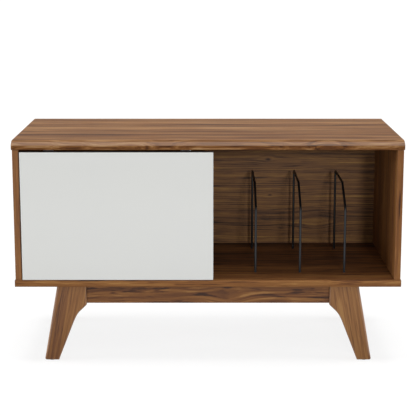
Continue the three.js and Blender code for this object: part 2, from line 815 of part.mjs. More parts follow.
function addDoor() {
  const door = new THREE.Group();
  door.position.set(doorSideGap - bayHalfWidth, doorFront, bayFloor + doorFloorGap);
  cabinet.add(door);
  add(door, "door_panel", doorPanel(), whiteLacquer());
  const sideNames = ["left", "right"];
  hangerPlaces.forEach((x, index) => {
    const name = sideNames[index] + "_hanger";
    add(door, name + "_bracket", hangerBracket(), zincSteel(), x);
    const screwSeat = plateBehindDoor + hangerSheet + seatGap;
    const heightNames = ["_lower_screw", "_upper_screw"];
    hangerScrewHeights.forEach((z, level) => {
      add(door, name + heightNames[level], screwBody(hangerScrew), zincSteel(), x, screwSeat, z);
    });
    const axleY = doorThickness + trackBehindDoor;
    const axleZ = doorHeight + axleAboveDoor;
    add(door, name + "_axle", hangerAxle(), zincSteel(), x, axleY, axleZ);
    add(door, name + "_front_wheel", hangerWheel(), whiteNylon(), x, axleY - wheelMiddle, axleZ);
    add(door, name + "_rear_wheel", hangerWheel(), whiteNylon(), x, axleY + wheelMiddle, axleZ);
  });
}

function addCorner({ name, sideX, sideY }) {
  const legY = -sideY * legMiddle;
  const leg = add(cabinet, name + "_leg", legBody(), walnutLeg(), sideX * legInner, legY, standHeight);
  leg.scale.x = sideX;
  const footX = sideX * (legInner + footMiddle);
  add(cabinet, name + "_glide", footGlide(), brownNylon(), footX, legY);
  const blockTop = standHeight - seatGap;
  const blockX = sideX * blockCorner.x;
  const blockY = sideY * blockCorner.y;
  const block = add(cabinet, name + "_corner_block", cornerBlock(), plainWood(), blockX, blockY, blockTop);
  block.scale.set(sideX, sideY, 1);
  const screwX = sideX * (blockCorner.x - blockScrewInset);
  const screwY = sideY * (blockCorner.y - blockScrewInset);
  const screw = pointUp(screwBody(blockScrew));
  add(cabinet, name + "_block_screw", screw, zincSteel(), screwX, screwY, blockTop - blockHeight - seatGap);
}

function addBase() {
  corners.forEach(addCorner);
  const apronLength = 2 * (legInner - seatGap);
  const apronMiddle = -(front + legSetback + apronRecess + apronThickness / 2);
  const apronZ = standHeight - seatGap - apronHeight / 2;
  const apron = () => board(apronLength, apronThickness, apronHeight, frameArris);
  add(cabinet, "front_apron", apron(), walnutLeg(), 0, -apronMiddle, apronZ);
  add(cabinet, "rear_apron", apron(), walnutLeg(), 0, apronMiddle, apronZ);
  const railLength = -2 * (legMiddle + legThickness / 2 + seatGap);
  const railX = legInner + legHeadWidth - railInset - railThickness / 2;
  const railZ = standHeight - seatGap - railHeight / 2;
  const rail = () => board(railThickness, railLength, railHeight, frameArris);
  add(cabinet, "left_side_rail", rail(), walnutLeg(), -railX, 0, railZ);
  add(cabinet, "right_side_rail", rail(), walnutLeg(), railX, 0, railZ);
}

addCase();
addCaseFasteners();
addRecordDividers();
addTrack();
addDoor();
addBase();

export default cabinet;
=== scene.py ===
"""Looks for the record cabinet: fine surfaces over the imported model, finishes, light and camera."""

import math
from collections import namedtuple

import bmesh
import bpy
from mathutils import Matrix, Vector


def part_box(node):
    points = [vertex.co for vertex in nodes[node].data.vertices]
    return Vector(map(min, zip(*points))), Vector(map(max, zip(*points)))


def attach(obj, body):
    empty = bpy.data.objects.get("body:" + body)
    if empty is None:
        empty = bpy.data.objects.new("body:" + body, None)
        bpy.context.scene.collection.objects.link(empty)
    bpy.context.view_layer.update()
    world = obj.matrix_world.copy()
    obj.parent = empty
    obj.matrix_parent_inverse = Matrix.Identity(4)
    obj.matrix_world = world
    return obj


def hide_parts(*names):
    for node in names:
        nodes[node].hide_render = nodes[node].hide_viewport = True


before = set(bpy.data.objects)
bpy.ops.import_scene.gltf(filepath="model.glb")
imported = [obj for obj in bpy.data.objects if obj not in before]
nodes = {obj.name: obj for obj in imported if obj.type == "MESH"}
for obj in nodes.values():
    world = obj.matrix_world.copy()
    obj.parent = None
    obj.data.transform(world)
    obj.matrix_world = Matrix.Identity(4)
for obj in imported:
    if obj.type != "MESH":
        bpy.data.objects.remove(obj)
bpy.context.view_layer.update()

MM = 0.001
CORNERS = ("front_left", "front_right", "rear_left", "rear_right")


def linked(name, data):
    """A new object in the scene."""
    thing = bpy.data.objects.new(name, data)
    bpy.context.scene.collection.objects.link(thing)
    return thing


# Camera

lens_mm = 97.3
sensor_mm = 36
lens_shift = -0.14
camera_place = (0, -2.98, 1.038)
degrees_down = 9.73

camera_data = bpy.data.cameras.new("camera")
camera_data.lens = lens_mm
camera_data.sensor_width = sensor_mm
camera_data.shift_y = lens_shift
camera_data.clip_end = 200
camera = linked("camera", camera_data)
camera.location = camera_place
camera.rotation_euler = (math.radians(90 - degrees_down), 0, 0)
bpy.context.scene.camera = camera

# Shader building


def linear(red, green, blue):
    """An sRGB colour of 0 to 255 as a linear RGBA colour."""
    values = []
    for value in (red, green, blue):
        value /= 255
        values.append(value / 12.92 if value <= 0.04045 else ((value + 0.055) / 1.055) ** 2.4)
    return (*values, 1)


class Shader:
    """A node material that is built with short calls."""

    def __init__(self, name, color, roughness, **constants):
        self.material = bpy.data.materials.new(name)
        self.material.use_nodes = True
        tree = self.material.node_tree
        self.nodes, self.links = tree.nodes, tree.links
        self.nodes.clear()
        self.bsdf = self.nodes.new("ShaderNodeBsdfPrincipled")
        output = self.nodes.new("ShaderNodeOutputMaterial")
        self.links.new(self.bsdf.outputs["BSDF"], output.inputs["Surface"])
        self.bsdf.inputs["Base Color"].default_value = color
        self.bsdf.inputs["Roughness"].default_value = roughness
        self.material.diffuse_color = color
        for key, value in constants.items():
            self.bsdf.inputs[key.replace("_", " ")].default_value = value

    def put(self, socket, value):
        """Links a socket or sets a value. None leaves the socket as it is."""
        if isinstance(value, bpy.types.NodeSocket):
            self.links.new(value, socket)
        elif value is not None:
            socket.default_value = value

    def math(self, operation, *values):
        node = self.nodes.new("ShaderNodeMath")
        node.operation = operation
        for socket, value in zip(node.inputs, values):
            self.put(socket, value)
        return node.outputs[0]

    def add(self, *values):
        total = values[0]
        for value in values[1:]:
            total = self.math("ADD", total, value)
        return total

    def less(self, a, b):
        return self.math("SUBTRACT", a, b)

    def times(self, a, b):
        return self.math("MULTIPLY", a, b)

    def swing(self, value, depth):
        """A value of 0 to 1 as a swing of half the depth to both sides of 0."""
        return self.times(self.less(value, 0.5), depth)

    def hump(self, square, sharpness):
        """A bell curve that is 1 where the square is 0."""
        return self.math("EXPONENT", self.times(square, -sharpness))

    def spread(self, value, low, high, to_low=0.0, to_high=1.0, smooth=False):
        node = self.nodes.new("ShaderNodeMapRange")
        node.interpolation_type = "SMOOTHSTEP" if smooth else "LINEAR"
        names = ("Value", "From Min", "From Max", "To Min", "To Max")
        for name, given in zip(names, (value, low, high, to_low, to_high)):
            self.put(node.inputs[name], given)
        return node.outputs["Result"]

    def place(self, rotation=(0, 0, 0)):
        """Object coordinates, turned."""
        coordinates = self.nodes.new("ShaderNodeTexCoord")
        mapping = self.nodes.new("ShaderNodeMapping")
        mapping.vector_type = "POINT"
        mapping.inputs["Rotation"].default_value = rotation
        self.links.new(coordinates.outputs["Object"], mapping.inputs["Vector"])
        return mapping.outputs["Vector"]

    def parts(self, vector):
        node = self.nodes.new("ShaderNodeSeparateXYZ")
        self.links.new(vector, node.inputs[0])
        return node.outputs[0], node.outputs[1], node.outputs[2]

    def noise(self, vector, scale=1.0, detail=2.0, rough=0.5):
        node = self.nodes.new("ShaderNodeTexNoise")
        self.put(node.inputs["Vector"], vector)
        node.inputs["Scale"].default_value = scale
        node.inputs["Detail"].default_value = detail
        node.inputs["Roughness"].default_value = rough
        return node.outputs["Fac"]

    def stretched(self, x, y, z, **settings):
        """Noise over three axes. Each is a plain number, or a coordinate with its scale and its shift."""
        node = self.nodes.new("ShaderNodeCombineXYZ")
        for socket, axis in zip(node.inputs, (x, y, z)):
            self.put(socket, self.math("MULTIPLY_ADD", *axis) if isinstance(axis, tuple) else axis)
        return self.noise(node.outputs[0], **settings)

    def ramp(self, value, stops):
        node = self.nodes.new("ShaderNodeValToRGB")
        elements = node.color_ramp.elements
        while len(elements) < len(stops):
            elements.new(0.5)
        for element, (position, color) in zip(elements, stops):
            element.position = position
            element.color = color
        self.put(node.inputs[0], value)
        return node.outputs["Color"]

    def mix(self, share, a, b):
        """Colour a, or b where the share is 1."""
        node = self.nodes.new("ShaderNodeMix")
        node.data_type = "RGBA"
        self.put(node.inputs[0], share)
        self.put(node.inputs[6], a)
        self.put(node.inputs[7], b)
        return node.outputs[2]

    def bump(self, height, strength, distance, normal=None):
        node = self.nodes.new("ShaderNodeBump")
        node.inputs["Strength"].default_value = strength
        node.inputs["Distance"].default_value = distance
        self.put(node.inputs["Height"], height)
        self.put(node.inputs["Normal"], normal)
        return node.outputs["Normal"]

    def edge(self):
        """1 on rounded edges and 0 on flat faces, from the mesh's own attribute."""
        node = self.nodes.new("ShaderNodeAttribute")
        node.attribute_name = "edge"
        return node.outputs["Fac"]

    def soft_edges(self):
        """A normal that rounds the sharp edges of small plain solids."""
        node = self.nodes.new("ShaderNodeBevel")
        node.samples = 4
        node.inputs["Radius"].default_value = 0.4 * MM
        return node.outputs["Normal"]

    def finish(self, color, roughness, normal):
        self.put(self.bsdf.inputs["Base Color"], color)
        self.put(self.bsdf.inputs["Roughness"], roughness)
        self.put(self.bsdf.inputs["Normal"], normal)
        return self.material


# Walnut

# The turns that bring the grain to X. UPRIGHT_X also brings the height to across.
ALONG_X = (0, 0, 0)
ALONG_Y = (0, 0, math.radians(90))
ALONG_Z = (0, math.radians(90), 0)
UPRIGHT_X = (math.radians(-90), 0, 0)


def tones(*colors, at=(0.0, 0.22, 0.42, 0.6, 0.8, 1.0)):
    """Ramp stops from dark to light wood."""
    return list(zip(at, (linear(*color) for color in colors)))


WALNUT = tones((56, 34, 23), (86, 54, 34), (111, 71, 42), (129, 85, 48), (146, 101, 57), (164, 119, 70))
PALE_WALNUT = tones((54, 33, 22), (85, 53, 31), (111, 71, 40), (130, 88, 51), (148, 108, 68), (168, 130, 90))
OLIVE_WALNUT = tones((47, 30, 18), (79, 52, 31), (103, 70, 43), (122, 85, 49), (140, 102, 56), (158, 118, 64))
# The pale colour painted on rounded edges as a highlight
PAINTED_EDGE_HIGHLIGHT = linear(190, 166, 150)

# The stop whose colour stands for the wood where its pattern isn't drawn
PLAIN_STOP = 3

# Marks per metre across the grain, from coarse to fine
BANDS, WOBBLES, VEINS, STREAKS, PORES = 30.0, 60.0, 130.0, 170.0, 900.0

# How far the heart wanders in metres and a ring in rings, and where within a ring its dark line ends
HEART_DRIFT, RING_WOBBLE, LINE_END = 0.07, 1.1, 0.93

# How much the finest grain and the pores change the tone, and how much smoother the rounded edges are
FINE_DEPTH, PORE_DEPTH, POLISH = 0.4, 0.14, 0.08

# A dark or pale streak at a height across the grain. change is added to the tone in its middle.
Streak = namedtuple("Streak", "middle half_width change")
# A knot presses the grain apart by its power and darkens its core.
Knot = namedtuple("Knot", "along across long wide power dark")
# A wavy front strip, where across is below start. tone and fade change it there, fade along the board.
Waves = namedtuple("Waves", "start height rate tone fade")
# A seam at a height, with a change of tone below and above it, used as painted shade on faces that are lit
# less.
Layer = namedtuple("Layer", "seam below above")


def banded(s, along, across, depth, end):
    """Swaps the axes on the end faces, as in a veneer band whose grain runs along the edge."""
    on_end = s.spread(s.math("ABSOLUTE", along), end - 1.2 * MM, end - 0.8 * MM)
    pairs = ((along, across), (across, depth), (depth, along))
    return [s.math("MULTIPLY_ADD", on_end, s.less(there, here), here) for here, there in pairs]


def bent_by_knots(s, along, grain, knots):
    """The grain, led round each knot, and the dark of their cores."""
    dark = 0.0
    for knot in knots:
        run = s.times(s.less(along, knot.along), 1 / knot.long)
        rise = s.less(grain, knot.across)
        lift = s.times(rise, 1 / knot.wide)
        reach = s.add(s.times(run, run), s.times(lift, lift))
        grain = s.less(grain, s.times(s.times(rise, s.hump(reach, 0.5)), knot.power))
        dark = s.add(dark, s.times(s.hump(reach, 7.0), -knot.dark))
    return grain, dark


def walnut(
    name,
    turn=ALONG_X,
    offset=(0, 0, 0),
    stops=WALNUT,
    heart=(0.0, -0.05),
    slope=0.03,
    wander=0.02,
    ring=0.011,
    ring_depth=0.35,
    ring_power=4.0,
    band_depth=1.3,
    streak_depth=0.5,
    vein_depth=0.35,
    vein_run=8.0,
    dash=3.4,
    tone=0.55,
    fade=0.0,
    roughness=0.48,
    specular=0.2,
    waves=None,
    banded_ends=None,
    layer=None,
    streaks_at=(),
    knots=(),
    edge_highlight=0.1,
    highlight_below=None,
):
    """Walnut whose grain runs along the turned X axis.

    offset picks the board's place in the pattern.
    heart is the line that the rings run round: its place across, and its depth with the sign turned.
    slope is how fast the board leaves the heart, wander how far its grain bends, ring the width of a year.
    The depths say how much each layer of the pattern changes the tone.
    dash and vein_run are marks per metre along the grain, and fade changes the tone along the board.
    banded_ends is where the end faces are.
    The last two set a highlight painted on the rounded edges: its share, and the heights between which it
    fades out.
    """
    s = Shader(name, stops[PLAIN_STOP][1], roughness, Specular_IOR_Level=specular)
    along, across, depth = s.parts(s.place(turn))
    seed_x, seed_y, seed_z = offset
    up = depth
    if banded_ends:
        along, across, depth = banded(s, along, across, depth, banded_ends)

    # the path of the grain
    bend = s.stretched((along, 1.6, seed_x), (across, 5.0, seed_y), (depth, 5.0, seed_z))
    grain = s.add(across, s.swing(bend, wander * 2))
    if waves:
        swell = s.stretched((along, waves.rate, seed_z), seed_x, seed_y, detail=1.0)
        in_front = s.spread(across, waves.start, waves.start - 6 * MM, smooth=True)
        grain = s.add(grain, s.times(s.times(s.less(swell, 0.5), in_front), waves.height * 2))
    grain, dark_knots = bent_by_knots(s, along, grain, knots)

    # rings, by the distance from the heart, which drifts along the board and makes the arches
    drift = s.stretched((along, 2.2, seed_y), seed_z, seed_x, detail=1.0)
    level = s.add(depth, s.times(along, slope), s.times(drift, HEART_DRIFT), heart[1])
    side = s.less(grain, heart[0])
    radius = s.math("SQRT", s.add(s.times(side, side), s.times(level, level)))
    wobble = s.stretched((along, 9.0, seed_z), (grain, WOBBLES, seed_x), (depth, WOBBLES, 0.0), detail=3.0)
    phase = s.add(s.times(radius, 1 / ring), s.times(wobble, RING_WOBBLE))
    saw = s.math("FRACT", phase)
    count = s.math("FLOOR", phase)
    ring_line = s.times(s.math("POWER", saw, ring_power), s.spread(saw, LINE_END, 1.0, 1.0, 0.0))
    ring_weight = s.stretched((count, 1.37, 0.0), (along, dash, 0.0), seed_y, detail=1.0)
    ring_weight = s.spread(ring_weight, 0.35, 0.68, 0.1, 1.0, smooth=True)

    # bands of years, streaks, veins and pores
    bands = s.stretched(
        (along, 0.7, seed_x), (radius, BANDS, 0.0), (grain, 9.0, seed_y), detail=3.0, rough=0.6
    )
    streaks = s.stretched(
        (along, 3.0, seed_y), (grain, STREAKS, 0.0), (depth, STREAKS, 0.0), detail=4.0, rough=0.65
    )
    veins = s.stretched(
        (along, vein_run, seed_x), (grain, VEINS, seed_z), (depth, VEINS, 0.0), detail=3.0, rough=0.6
    )
    dark_veins = s.spread(veins, 0.45, 0.33, 0.0, -vein_depth, smooth=True)
    gold_veins = s.spread(veins, 0.56, 0.68, 0.0, vein_depth * 0.6, smooth=True)
    fine = s.stretched((along, 26.0, 0.0), (grain, PORES, 0.0), (depth, PORES, 0.0), rough=0.6)
    pores = s.spread(fine, 0.62, 0.74, smooth=True)

    value = s.add(
        tone,
        s.times(along, fade),
        s.swing(bands, band_depth),
        s.swing(streaks, streak_depth * 2),
        s.swing(fine, FINE_DEPTH),
        s.times(s.times(ring_line, ring_weight), -ring_depth),
        s.times(pores, -PORE_DEPTH),
        dark_veins,
        gold_veins,
    )
    if knots:
        value = s.add(value, dark_knots)
    if waves:
        value = s.add(value, s.times(s.math("MULTIPLY_ADD", along, waves.fade, waves.tone), in_front))
    for streak in streaks_at:
        away = s.times(s.less(grain, streak.middle), 1 / streak.half_width)
        value = s.add(value, s.times(s.hump(s.times(away, away), 1.0), streak.change))
    # Rounded edges get a painted highlight in their colour and a smoother finish.
    highlight_and_polish = s.edge()
    # painted shade: a darker tone below or above the seam
    if layer:
        upper = s.spread(up, layer.seam - 0.4 * MM, layer.seam + 0.4 * MM)
        value = s.add(value, s.math("MULTIPLY_ADD", upper, layer.above - layer.below, layer.below))
        highlight_and_polish = s.times(highlight_and_polish, upper)
    if highlight_below:
        highlight_and_polish = s.times(highlight_and_polish, s.spread(up, *highlight_below, 1.0, 0.0, smooth=True))

    color = s.ramp(s.math("MAXIMUM", value, 0.0), stops)
    # the painted highlight on the rounded edges
    color = s.mix(s.times(highlight_and_polish, edge_highlight), color, PAINTED_EDGE_HIGHLIGHT)
    height = s.add(s.times(streaks, 0.35), s.times(pores, -0.8), s.times(ring_line, -0.25))
    rough = s.add(roughness - 0.05, s.times(fine, 0.1), s.times(pores, 0.12), s.times(highlight_and_polish, -POLISH))
    return s.finish(color, rough, s.bump(height, 0.22, 0.3 * MM))


# Other finishes


def lacquer(name):
    """White door lacquer: a faint ripple, dust-fine texture, paler edges, and painted shade on the top edge.
    """
    white = linear(224, 225, 222)
    s = Shader(name, white, 0.28, Specular_IOR_Level=0.5, Coat_Weight=0.25, Coat_Roughness=0.12)
    flat = s.place()
    cloud = s.noise(flat, scale=4.0)
    ripple = s.noise(flat, scale=260.0)
    dust = s.noise(flat, scale=1500.0, detail=1.0)
    color = s.mix(cloud, linear(220, 221, 219), linear(223, 224, 220))
    color = s.mix(s.times(s.edge(), 0.5), color, linear(233, 233, 230))
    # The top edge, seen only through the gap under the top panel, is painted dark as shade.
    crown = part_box("door_panel")[1].z
    gap_shade = s.spread(s.parts(flat)[2], crown - 0.5 * MM, crown - 0.3 * MM)
    color = s.mix(gap_shade, color, linear(62, 50, 40))
    rough = s.add(0.25, s.times(cloud, 0.06), s.times(dust, 0.04))
    height = s.add(s.times(ripple, 0.7), s.times(dust, 0.3))
    return s.finish(color, rough, s.bump(height, 0.08, 0.2 * MM))


def powder_coat(name):
    """Black powder coat with its fine orange peel, and a painted grey highlight on the rods' front legs."""
    s = Shader(name, linear(16, 17, 19), 0.36, Specular_IOR_Level=0.2)
    flat = s.place()
    peel = s.noise(flat, scale=900.0)
    patches = s.noise(flat, scale=25.0, detail=3.0)
    color = s.mix(patches, linear(12, 13, 15), linear(20, 21, 23))
    _, towards_back, up = s.parts(flat)
    behind_front_leg = (-0.117, -0.113)
    shoulder = (0.385, 0.392)
    on_front_leg = s.spread(towards_back, *behind_front_leg, 1.0, 0.0)
    below_shoulder = s.spread(up, *shoulder, 1.0, 0.0)
    # a painted grey highlight on the front legs below the shoulder
    color = s.mix(s.times(s.times(on_front_leg, below_shoulder), 0.8), color, linear(52, 54, 57))
    rough = s.add(0.3, s.times(patches, 0.16))
    return s.finish(color, rough, s.bump(peel, 0.25, 0.2 * MM))


def metal(name, light, dark, roughness, stretch):
    """Bare or plated metal, drawn or brushed along X, with duller patches."""
    s = Shader(name, light, roughness, Metallic=1.0)
    flat = s.place()
    along, across, depth = s.parts(flat)
    brushed = s.stretched((along, stretch, 0.0), (across, 1800.0, 0.0), (depth, 1800.0, 0.0))
    patches = s.noise(flat, scale=90.0, detail=4.0, rough=0.65)
    rough = s.add(roughness - 0.06, s.times(patches, 0.14), s.times(brushed, 0.08))
    return s.finish(s.mix(patches, dark, light), rough, s.bump(brushed, 0.12, 0.1 * MM, s.soft_edges()))


def nylon(name, light, dark, roughness):
    """Moulded nylon with a faint mottle and a fine grain."""
    s = Shader(name, light, roughness, Specular_IOR_Level=0.4)
    flat = s.place()
    mottle = s.noise(flat, scale=60.0, detail=4.0)
    grain = s.noise(flat, scale=2200.0, detail=1.0)
    rough = s.add(roughness - 0.05, s.times(mottle, 0.12))
    return s.finish(s.mix(mottle, dark, light), rough, s.bump(grain, 0.15, 0.1 * MM, s.soft_edges()))


def beech(name, turn):
    """Pale wood for the parts inside."""
    pale = tones(
        (120, 88, 56),
        (160, 124, 84),
        (186, 151, 108),
        (197, 164, 122),
        (205, 174, 134),
        at=(0.0, 0.3, 0.6, 0.8, 1.0),
    )
    return walnut(name, turn, (1.1, 2.3, 3.7), stops=pale, ring_depth=0.2, tone=0.6, roughness=0.6, edge_highlight=0)


# Each piece's material

case_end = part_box("top_panel")[1].x

top_wood = walnut(
    "walnut_top",
    ALONG_X,
    (3.1, 7.4, 1.2),
    stops=PALE_WALNUT,
    heart=(0.9, 0.0),
    slope=0.0,
    wander=0.008,
    ring=0.014,
    ring_depth=0.45,
    band_depth=1.4,
    streak_depth=1.2,
    vein_depth=0.26,
    vein_run=4.0,
    tone=0.6,
    fade=-0.05,
    specular=0.035,
    roughness=0.5,
    waves=Waves(start=-0.178, height=0.045, rate=5.0, tone=-0.08, fade=-0.32),
    banded_ends=case_end,
    # painted shade on the front face below the rounded edge
    layer=Layer(seam=0.5717, below=-0.1, above=0.0),
    streaks_at=(
        Streak(0.16, 0.03, -0.06),
        Streak(0.078, 0.026, -0.12),
        Streak(0.008, 0.018, 0.08),
        Streak(-0.095, 0.016, -0.12),
        Streak(-0.158, 0.014, 0.08),
    ),
    knots=(Knot(-0.155, -0.197, 0.022, 0.004, power=0.8, dark=0.45),),
    # a painted highlight on the lower part of the rounded front edge
    edge_highlight=0.28,
    highlight_below=(0.5785, 0.5815),
)
bottom_wood = walnut(
    "walnut_bottom",
    ALONG_X,
    (8.3, 2.2, 5.0),
    heart=(-0.02, -0.06),
    streak_depth=0.7,
    vein_depth=0.5,
    tone=0.57,
    fade=-0.12,
    specular=0.1,
    banded_ends=case_end,
    # the whole board is darkened, and the floor inside the bay above the seam more, as painted shade
    layer=Layer(seam=0.2214, below=-0.12, above=-0.18),
    # darker towards the back of the board and paler towards its front
    streaks_at=(Streak(0.17, 0.09, -0.15), Streak(-0.16, 0.08, 0.2)),
    edge_highlight=0.0,
)
side_grain = {"heart": (0.5, 0.0), "wander": 0.015, "vein_depth": 0.36, "vein_run": 6.0}
left_side_wood = walnut("walnut_left_side", ALONG_Z, (1.7, 4.6, 9.2), tone=0.58, **side_grain)
right_side_wood = walnut("walnut_right_side", ALONG_Z, (6.1, 9.3, 3.3), tone=0.62, specular=0.1, **side_grain)
divider_wood = walnut("walnut_divider", ALONG_Z, (2.9, 1.3, 6.6), heart=(0.03, -0.06), wander=0.015, tone=0.5)
back_wood = walnut(
    "walnut_back",
    UPRIGHT_X,
    (5.2, 0.7, 2.8),
    stops=OLIVE_WALNUT,
    heart=(-0.6, 0.0),
    slope=0.0,
    wander=0.008,
    ring=0.006,
    ring_depth=0.55,
    ring_power=2.5,
    dash=10.0,
    band_depth=1.2,
    streak_depth=0.9,
    vein_depth=0.3,
    vein_run=9.0,
    tone=0.69,
    # darker over the lower part of the board
    streaks_at=(Streak(0.24, 0.13, -0.17),),
    knots=(
        Knot(0.172, 0.467, 0.018, 0.009, power=0.9, dark=0.8),
        Knot(0.178, 0.366, 0.014, 0.006, power=0.9, dark=0.7),
        Knot(0.316, 0.288, 0.04, 0.02, power=0.8, dark=0.0),
        Knot(0.21, 0.268, 0.02, 0.006, power=0.8, dark=0.4),
    ),
)
apron_wood = walnut(
    "walnut_apron",
    UPRIGHT_X,
    (4.4, 3.9, 7.7),
    heart=(0.1, -0.03),
    wander=0.04,
    ring_depth=0.6,
    dash=6.0,
    band_depth=1.2,
    streak_depth=0.8,
    vein_depth=0.55,
    vein_run=10.0,
    tone=0.59,
    knots=(
        Knot(0.05, 0.176, 0.045, 0.018, power=0.9, dark=0.0),
        Knot(0.05, 0.186, 0.03, 0.011, power=0.6, dark=0.8),
        Knot(-0.1, 0.18, 0.05, 0.02, power=0.7, dark=0.0),
    ),
)
rail_wood = walnut("walnut_rail", ALONG_Y, (2.2, 8.8, 0.6), tone=0.42)
block_wood = beech("beech_block", ALONG_X)
dowel_wood = beech("beech_dowel", ALONG_Z)

door_white = lacquer("white_lacquer")
rod_black = powder_coat("black_powder_coat")
track_metal = metal(
    "track_aluminium", linear(186, 188, 190), linear(150, 152, 155), roughness=0.36, stretch=40.0
)
zinc = metal("zinc_plate", linear(142, 143, 145), linear(102, 103, 106), roughness=0.38, stretch=400.0)
white_nylon = nylon("white_nylon", linear(226, 225, 219), linear(206, 205, 198), roughness=0.45)
black_nylon = nylon("black_nylon", linear(40, 40, 41), linear(27, 27, 28), roughness=0.5)
brown_nylon = nylon("brown_nylon", linear(70, 52, 39), linear(52, 38, 28), roughness=0.55)

# Meshes


def mark_sharp(bm, angle=35):
    """Marks the edges that stay sharp: open ones, and those with at least this angle in degrees."""
    for edge in bm.edges:
        edge.smooth = len(edge.link_faces) == 2 and edge.calc_face_angle() < math.radians(angle)


def new_object(name, bm, material, body, slot, *replaced, angle=35, large_share=0.02):
    """A smooth-shaded piece from a bmesh, riding on a body and standing for CAD nodes.

    Its vertices that touch no large face, so those within a rounded edge, get the attribute edge.
    """
    bmesh.ops.remove_doubles(bm, verts=bm.verts, dist=1e-6)
    bmesh.ops.recalc_face_normals(bm, faces=bm.faces)
    large = max(face.calc_area() for face in bm.faces) * large_share
    layer = bm.verts.layers.float.new("edge")
    for vert in bm.verts:
        vert[layer] = 0.0 if any(face.calc_area() > large for face in vert.link_faces) else 1.0
    for face in bm.faces:
        face.smooth = True
    mark_sharp(bm, angle)
    mesh = bpy.data.meshes.new(name)
    bm.to_mesh(mesh)
    bm.free()
    mesh.materials.append(material)
    piece = linked(name, mesh)
    normals = piece.modifiers.new("normals", "WEIGHTED_NORMAL")
    normals.keep_sharp = True
    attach(piece, body)
    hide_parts(*replaced)
    return piece


def box_mesh(low, high):
    """A box between two corners."""
    bm = bmesh.new()
    bmesh.ops.create_cube(bm, size=1)
    for vert in bm.verts:
        vert.co = Vector(low[i] if vert.co[i] < 0 else high[i] for i in range(3))
    return bm


def round_edges(bm, edges, radius, segments):
    """Rounds edges, by less than the radius where there is no room for it."""
    bmesh.ops.bevel(
        bm,
        geom=edges,
        offset=radius,
        offset_type="OFFSET",
        segments=segments,
        profile=0.5,
        affect="EDGES",
        clamp_overlap=True,
    )


def extruded(outline, low, high, rounding, segments):
    """A closed outline of Y and Z, extruded along X from low to high, with rounded rims at both ends."""
    bm = bmesh.new()
    near = [bm.verts.new((low, y, z)) for y, z in outline]
    far = [bm.verts.new((high, y, z)) for y, z in outline]
    bm.faces.new(near)
    bm.faces.new(list(reversed(far)))
    for i in range(len(outline)):
        j = (i + 1) % len(outline)
        bm.faces.new((near[j], near[i], far[i], far[j]))
    bm.normal_update()
    rims = [bm.edges.get((a, b)) for rim in (near, far) for a, b in zip(rim, rim[1:] + rim[:1])]
    round_edges(bm, rims, rounding, segments)
    return bm


def bridge(bm, rings):
    """Faces between each ring of vertices and the next. A ring of one vertex is a point."""
    for lower, upper in zip(rings, rings[1:]):
        sides = max(len(lower), len(upper))
        for k in range(sides):
            j = (k + 1) % sides
            corners = (
                lower[k % len(lower)],
                lower[j % len(lower)],
                upper[j % len(upper)],
                upper[k % len(upper)],
            )
            bm.faces.new(list(dict.fromkeys(corners)))


def arc(cx, cy, radius, start, end, steps):
    """Points on an arc, from one angle in degrees to another."""
    angles = [math.radians(start + (end - start) * step / steps) for step in range(steps + 1)]
    return [(cx + radius * math.cos(angle), cy + radius * math.sin(angle)) for angle in angles]


def eased(start, corner, end, t):
    """A point on the curve that rounds a corner, at t of 0 to 1."""
    return start * (1 - t) ** 2 + corner * 2 * t * (1 - t) + end * t * t


def board(name, node, arris, material, slot):
    """A board that fills its node's box, with fine rounded edges."""
    bm = box_mesh(*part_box(node))
    round_edges(bm, bm.edges[:], arris, 3)
    return new_object(name, bm, material, "cabinet", slot, node)


def cut_away(piece, low, high):
    """Cuts a box out of a piece."""
    bm = box_mesh(low, high)
    mesh = bpy.data.meshes.new("cutter")
    bm.to_mesh(mesh)
    bm.free()
    cutter = linked("cutter", mesh)
    cutting = piece.modifiers.new("cut", "BOOLEAN")
    cutting.object = cutter
    cutting.operation = "DIFFERENCE"
    cutting.solver = "EXACT"
    piece.modifiers.move(len(piece.modifiers) - 1, 0)
    with bpy.context.temp_override(object=piece, active_object=piece):
        bpy.ops.object.modifier_apply(modifier=cutting.name)
    bpy.data.objects.remove(cutter)
    bm = bmesh.new()
    bm.from_mesh(piece.data)
    mark_sharp(bm)
    bm.to_mesh(piece.data)
    bm.free()


# Case

under_round = 3.5 * MM
rear_round = 0.8 * MM
end_round = 2.5 * MM
front_steps = 16
crease_steps = 4
side_arris = 0.8 * MM
frame_arris = 1.2 * MM


def panel(name, node, material, slot, depth, drop, crease=0):
    """A case panel whose front edge curves down from depth behind the front to drop below the top.

    crease softens the corner where that curve meets the front face.
    """
    low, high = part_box(node)
    radius = (depth**2 + drop**2) / (2 * drop)
    sweep = 2 * math.degrees(math.atan2(drop, depth))
    points = arc(low.y + under_round, low.z + under_round, under_round, 270, 180, 8)
    curve = arc(low.y + depth, high.z - radius, radius, 90 + sweep, 90, front_steps)
    if crease:
        corner = Vector(curve[0])
        start = corner - Vector((0, crease))
        end = corner + (Vector(curve[1]) - corner).normalized() * crease
        curve[0:1] = [eased(start, corner, end, step / crease_steps) for step in range(crease_steps + 1)]
    points += curve
    points += arc(high.y - rear_round, high.z - rear_round, rear_round, 90, 0, 3)
    points += arc(high.y - rear_round, low.z + rear_round, rear_round, 0, -90, 3)
    bm = extruded(points, low.x, high.x, end_round, 5)
    return new_object(name, bm, material, "cabinet", slot, node, large_share=0.01)


